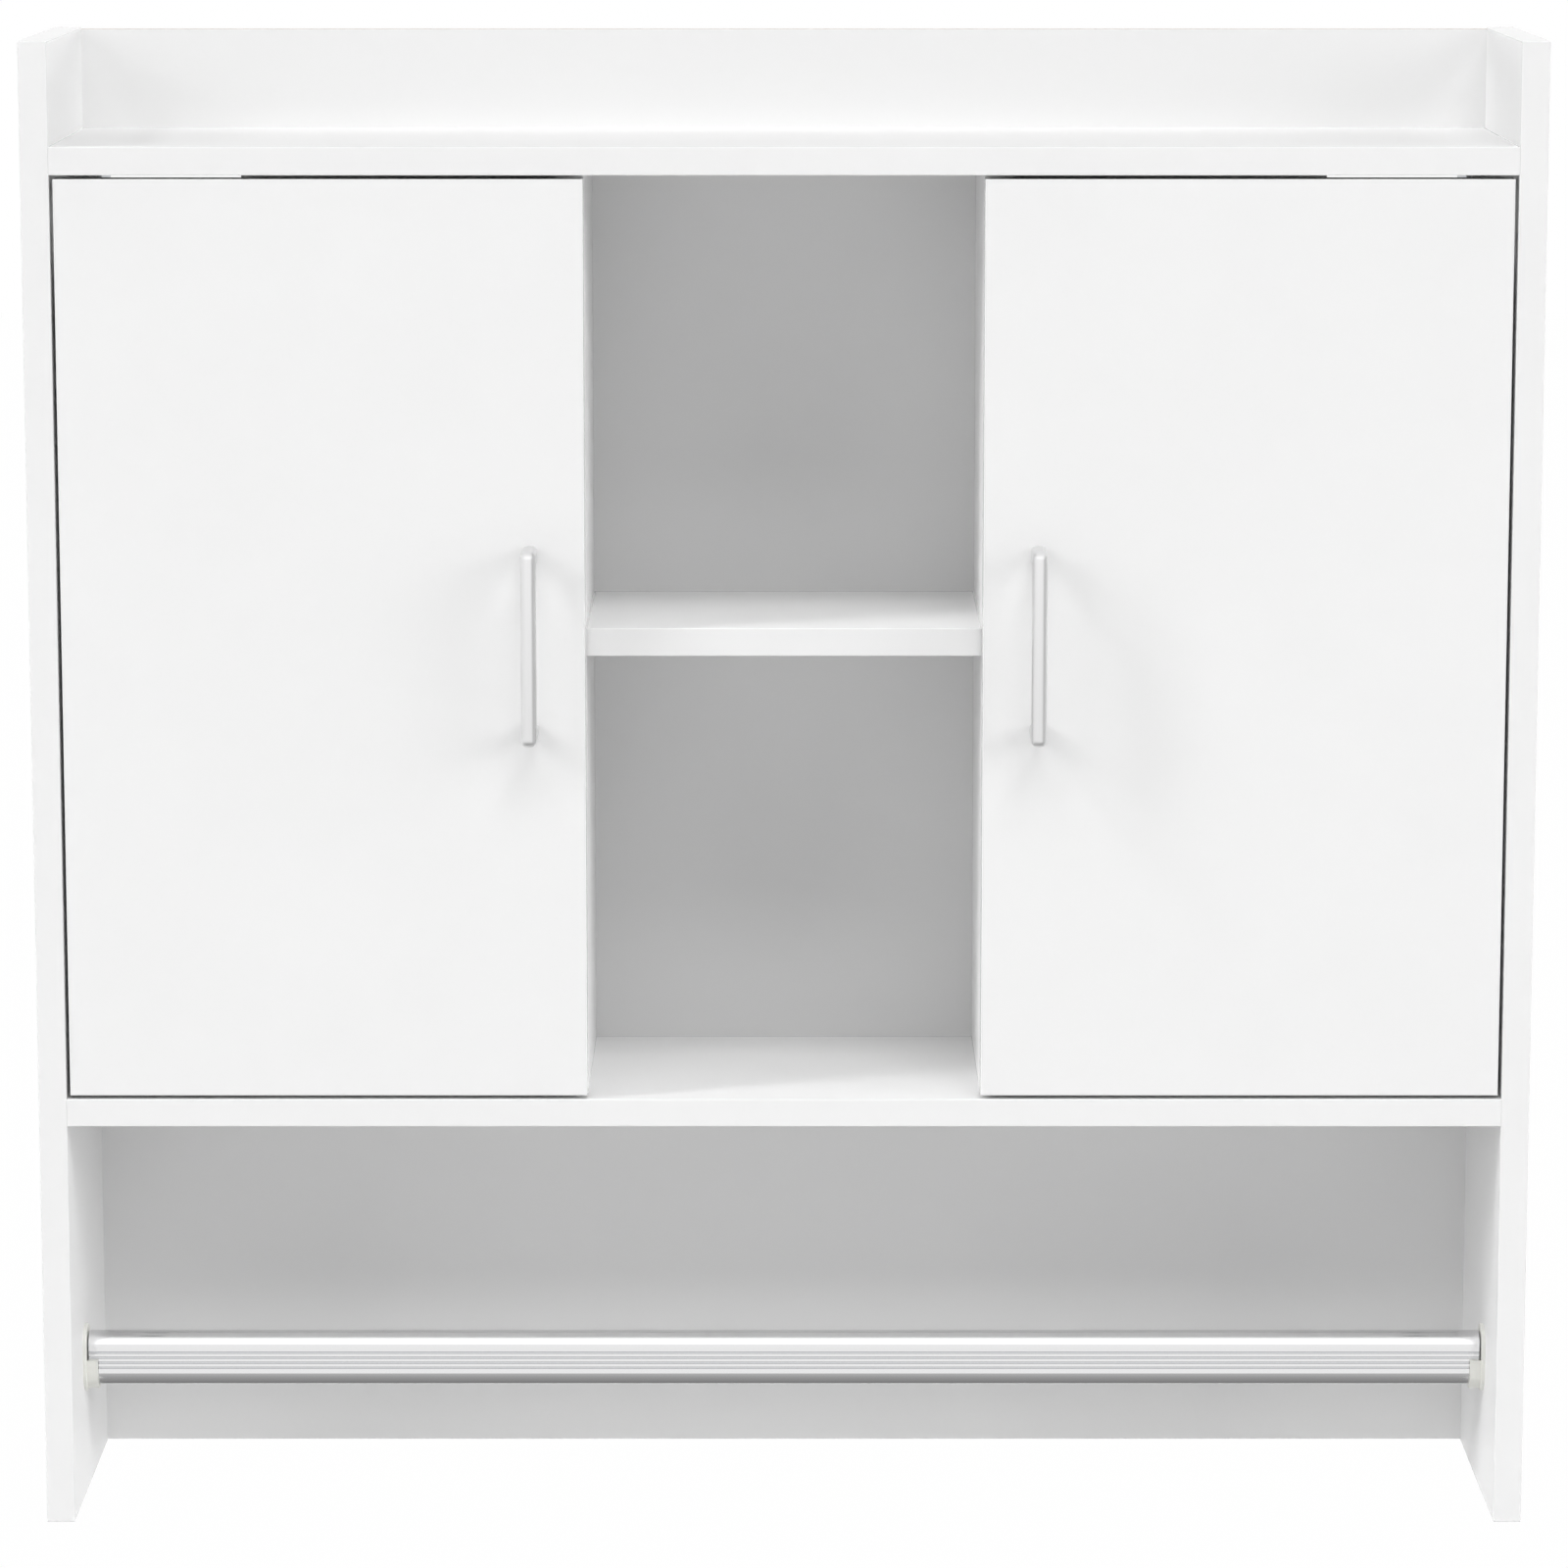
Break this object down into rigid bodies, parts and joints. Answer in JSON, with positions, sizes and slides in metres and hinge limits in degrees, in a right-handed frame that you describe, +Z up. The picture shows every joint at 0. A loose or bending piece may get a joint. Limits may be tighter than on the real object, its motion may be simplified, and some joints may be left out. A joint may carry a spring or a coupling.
{
  "type": "hanging wall cabinet",
  "caption": "White wall-hung cabinet with inset doors, an open shelved bay between them, a gallery top and an oval rail below.",
  "frame": {"origin": "centre of the back, on the wall plane", "axes": "+Z up, +Y into the wall, front faces -Y, +X to the right seen from the front"},
  "size_m": [0.8, 0.187, 0.8],
  "materials": {
    "white_board": "white melamine, satin",
    "back_sheet": "white lacquered fibreboard, raw at the rear",
    "beech": "bare",
    "aluminium": "satin anodised",
    "hinge_steel": "nickel plated",
    "zinc_steel": "zinc plated",
    "cast_zinc": "cast zinc",
    "white_plastic": "moulded",
    "clear_bumper": "soft"
  },
  "bodies": {
    "carcass": {"left_side_panel": "white_board", "right_side_panel": "white_board", "top_board": "white_board", "bottom_board": "white_board", "left_divider": "white_board", "right_divider": "white_board", "middle_shelf": "white_board", "left_inner_shelf": "white_board", "right_inner_shelf": "white_board", "back_panel": "back_sheet", "cam_locks": "cast_zinc", "dowels": "beech", "cam_bolts": "zinc_steel", "nails": "zinc_steel", "shelf_pegs": "zinc_steel", "left_hook": "zinc_steel", "right_hook": "zinc_steel", "hanger_adjusters": "zinc_steel", "hanger_screws": "zinc_steel", "socket_screws": "zinc_steel", "plate_screws": "zinc_steel", "arm_screws": "zinc_steel", "left_upper_hinge_arm": "hinge_steel", "left_upper_hinge_plate": "hinge_steel", "left_lower_hinge_arm": "hinge_steel", "left_lower_hinge_plate": "hinge_steel", "right_upper_hinge_arm": "hinge_steel", "right_upper_hinge_plate": "hinge_steel", "right_lower_hinge_arm": "hinge_steel", "right_lower_hinge_plate": "hinge_steel", "left_hanger": "white_plastic", "right_hanger": "white_plastic", "left_rail_socket": "white_plastic", "right_rail_socket": "white_plastic", "towel_rail": "aluminium"},
    "left_leaf": {"left_door": "white_board", "left_handle": "aluminium", "left_handle_screws": "zinc_steel", "left_cup_screws": "zinc_steel", "left_bumpers": "clear_bumper", "left_upper_hinge_cup": "hinge_steel", "left_upper_hinge_pin": "hinge_steel", "left_lower_hinge_cup": "hinge_steel", "left_lower_hinge_pin": "hinge_steel"},
    "right_leaf": {"right_door": "white_board", "right_handle": "aluminium", "right_handle_screws": "zinc_steel", "right_cup_screws": "zinc_steel", "right_bumpers": "clear_bumper", "right_upper_hinge_cup": "hinge_steel", "right_upper_hinge_pin": "hinge_steel", "right_lower_hinge_cup": "hinge_steel", "right_lower_hinge_pin": "hinge_steel"}
  },
  "joints": [
    {"name": "left_door_swing", "type": "hinge", "parent": "carcass", "child": "left_leaf", "pos_m": [-0.3678, -0.1525, 0.0825], "axis": [0, 0, -1], "range_deg": [0, 95]},
    {"name": "right_door_swing", "type": "hinge", "parent": "carcass", "child": "right_leaf", "pos_m": [0.3678, -0.1525, 0.0825], "axis": [0, 0, 1], "range_deg": [0, 95]}
  ]
}
